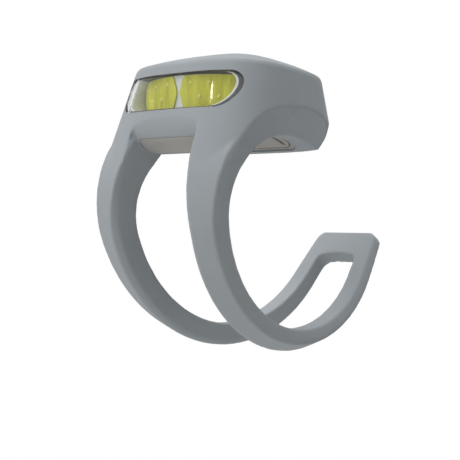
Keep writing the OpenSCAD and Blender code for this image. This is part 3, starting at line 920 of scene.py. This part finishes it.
class HEADLIGHT_OT_inside(HeadlightOperator, Operator):
    """Finishes of the cells, shells, boards and contacts inside"""
    bl_idname = "headlight.inside"
    bl_label = "Inside"

    def execute(self, context):
        shell = moulded("shell_plastic", (0.06, 0.062, 0.065), 0.5)
        black = moulded("black_part", (0.02, 0.02, 0.021), 0.45)
        gold = metal("contact_gold", (0.83, 0.62, 0.25), 0.3)
        finishes = {
            "core_housing": shell,
            "button_plunger": moulded("plunger_plastic", (0.72, 0.72, 0.69), 0.4),
            "switch_stem": moulded("stem_plastic", (0.72, 0.72, 0.69), 0.4),
            "base_screws": metal("screw_steel", (0.62, 0.62, 0.62), 0.3),
            "cover_seal": moulded("door_seal", (0.03, 0.031, 0.032), 0.55),
            "coin_cell_upper": metal("cell_steel", (0.7, 0.7, 0.69), 0.28, (1, 1, 12)),
            "coin_cell_lower": metal("cell_steel_lower", (0.7, 0.7, 0.69), 0.28, (1, 1, 12)),
            "contact_positive": gold, "contact_negative": gold,
            "circuit_board": moulded("board_green", (0.02, 0.12, 0.05), 0.35),
            "controller_chip": black, "driver_inductor": black, "driver_resistors": black,
            "tactile_switch": black, "led_flex": moulded("flex_copper", (0.5, 0.24, 0.06), 0.35)}
        for node, finish in finishes.items():
            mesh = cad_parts[node].data
            mesh.materials.clear()
            mesh.materials.append(finish)
        return {"FINISHED"}


class HEADLIGHT_OT_stage(HeadlightOperator, Operator):
    """Pale floor, soft lamps and the camera of the photograph"""
    bl_idname = "headlight.stage"
    bl_label = "Stage"

    def execute(self, context):
        bm = bmesh.new()
        bmesh.ops.create_grid(bm, x_segments=1, y_segments=1, size=3000)
        bmesh.ops.translate(bm, verts=bm.verts, vec=(0, 0, -85))
        floor = finish_piece(bm, "floor")
        paint = bpy.data.materials.new("pale_floor")
        paint.use_nodes = True
        nodes, links = paint.node_tree.nodes, paint.node_tree.links
        main = nodes["Principled BSDF"]
        main.inputs["Base Color"].default_value = (0.66, 0.66, 0.66, 1)
        main.inputs["Roughness"].default_value = 0.9
        self.seen_white(nodes, links, main.outputs["BSDF"], nodes["Material Output"])
        floor.data.materials.append(paint)

        world = bpy.data.worlds.new("studio")
        context.scene.world = world
        world.use_nodes = True
        nodes, links = world.node_tree.nodes, world.node_tree.links
        sky = nodes["Background"]
        sky.inputs["Color"].default_value = (0.95, 0.98, 1.0, 1)
        sky.inputs["Strength"].default_value = 0.34
        self.seen_white(nodes, links, sky.outputs["Background"], nodes["World Output"],
                        "ShaderNodeBackground")

        self.lamp("key", (-0.26, -0.34, 0.30), 0.30, 1.4, mirrored=False)
        self.lamp("top", (0.02, 0.05, 0.42), 0.36, 1.45, mirrored=False)
        self.lamp("fill", (0.08, -0.44, -0.10), 0.20, 0.85, mirrored=False)
        self.lamp("streak", (-0.238, -0.475, 0.314), 0.03, 0.010, tall=0.005)
        self.camera(context)
        return {"FINISHED"}

    def seen_white(self, nodes, links, lit, output, kind="ShaderNodeEmission"):
        """White where it is seen or looked through at, and lit as usual for the rest."""
        path, white = nodes.new("ShaderNodeLightPath"), nodes.new(kind)
        mix = nodes.new("ShaderNodeMixShader")
        white.inputs["Color"].default_value = (1, 1, 1, 1)
        white.inputs["Strength"].default_value = 1.0
        either = nodes.new("ShaderNodeMath")
        either.operation = "MAXIMUM"
        links.new(path.outputs["Is Camera Ray"], either.inputs[0])
        links.new(path.outputs["Is Transmission Ray"], either.inputs[1])
        links.new(either.outputs[0], mix.inputs["Fac"])
        links.new(lit, mix.inputs[1])
        links.new(white.outputs[0], mix.inputs[2])
        links.new(mix.outputs[0], output.inputs["Surface"])

    def lamp(self, name, place, size, power, tall=None, mirrored=True):
        """A soft lamp aimed at the part, seen in reflections only if mirrored."""
        light = bpy.data.lights.new(name, "AREA")
        light.energy = power
        light.size = size
        if tall:
            light.shape = "RECTANGLE"
            light.size_y = tall
        lamp = bpy.data.objects.new(name, light)
        lamp.location = place
        aim = Vector((0, 0, 0.005)) - Vector(place)
        lamp.rotation_mode = "QUATERNION"
        lamp.rotation_quaternion = aim.to_track_quat("-Z", "Y")
        lamp.visible_glossy = lamp.visible_transmission = mirrored
        bpy.context.scene.collection.objects.link(lamp)

    def camera(self, context):
        """The camera that took the photograph, as fitted to the round underside."""
        turn, rise, roll = math.radians(45), math.radians(-5.48), math.radians(5.51)
        distance, target = 0.230, Vector((-0.00130, 0.0024, 0.00038))
        back = Vector((math.sin(turn) * math.cos(rise), -math.cos(turn) * math.cos(rise), math.sin(rise)))
        right = Vector((math.cos(turn), math.sin(turn), 0))
        up = back.cross(right)
        x = right * math.cos(roll) + up * math.sin(roll)
        y = up * math.cos(roll) - right * math.sin(roll)
        data = bpy.data.cameras.new("camera")
        data.sensor_width = 36
        data.lens = 36 * 1314 / 460
        data.shift_y = (212 - 230) / 460
        data.clip_start, data.clip_end = 0.01, 20
        camera = bpy.data.objects.new("camera", data)
        camera.matrix_world = Matrix((
            (x.x, y.x, back.x, 0), (x.y, y.y, back.y, 0), (x.z, y.z, back.z, 0), (0, 0, 0, 1)))
        camera.location = target + back * distance
        bpy.context.scene.collection.objects.link(camera)
        context.scene.camera = camera
        context.scene.view_settings.view_transform = "Standard"


STEPS = ("sleeve", "button", "lens", "panels", "underside", "inside", "stage")


class HEADLIGHT_PT_builder(Panel):
    """Sizes, colours and the steps that build the headlight"""
    bl_idname = "HEADLIGHT_PT_builder"
    bl_label = "Headlight"
    bl_space_type = "VIEW_3D"
    bl_region_type = "UI"
    bl_category = "Headlight"

    def draw(self, context):
        """All values of the panel, then one button for each step."""
        for group in (context.scene.headlight_sizes, context.scene.headlight_colours):
            column = self.layout.column(align=True)
            for key in group.bl_rna.properties.keys():
                if key not in ("rna_type", "name"):
                    column.prop(group, key)
        for step in STEPS:
            self.layout.operator(f"headlight.{step}")


CLASSES = (HeadlightSizes, HeadlightColours, HEADLIGHT_OT_sleeve, HEADLIGHT_OT_button, HEADLIGHT_OT_lens,
           HEADLIGHT_OT_panels, HEADLIGHT_OT_underside, HEADLIGHT_OT_inside, HEADLIGHT_OT_stage,
           HEADLIGHT_PT_builder)


def register():
    """Makes the panel, its values and the steps known."""
    for kind in CLASSES:
        bpy.utils.register_class(kind)
    bpy.types.Scene.headlight_sizes = PointerProperty(type=HeadlightSizes)
    bpy.types.Scene.headlight_colours = PointerProperty(type=HeadlightColours)


def unregister():
    """Takes back what register did."""
    del bpy.types.Scene.headlight_sizes
    del bpy.types.Scene.headlight_colours
    for kind in reversed(CLASSES):
        bpy.utils.unregister_class(kind)


def main():
    """Runs every step."""
    register()
    for step in STEPS:
        getattr(bpy.ops.headlight, step)()
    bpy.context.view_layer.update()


if __name__ == "__main__":
    main()
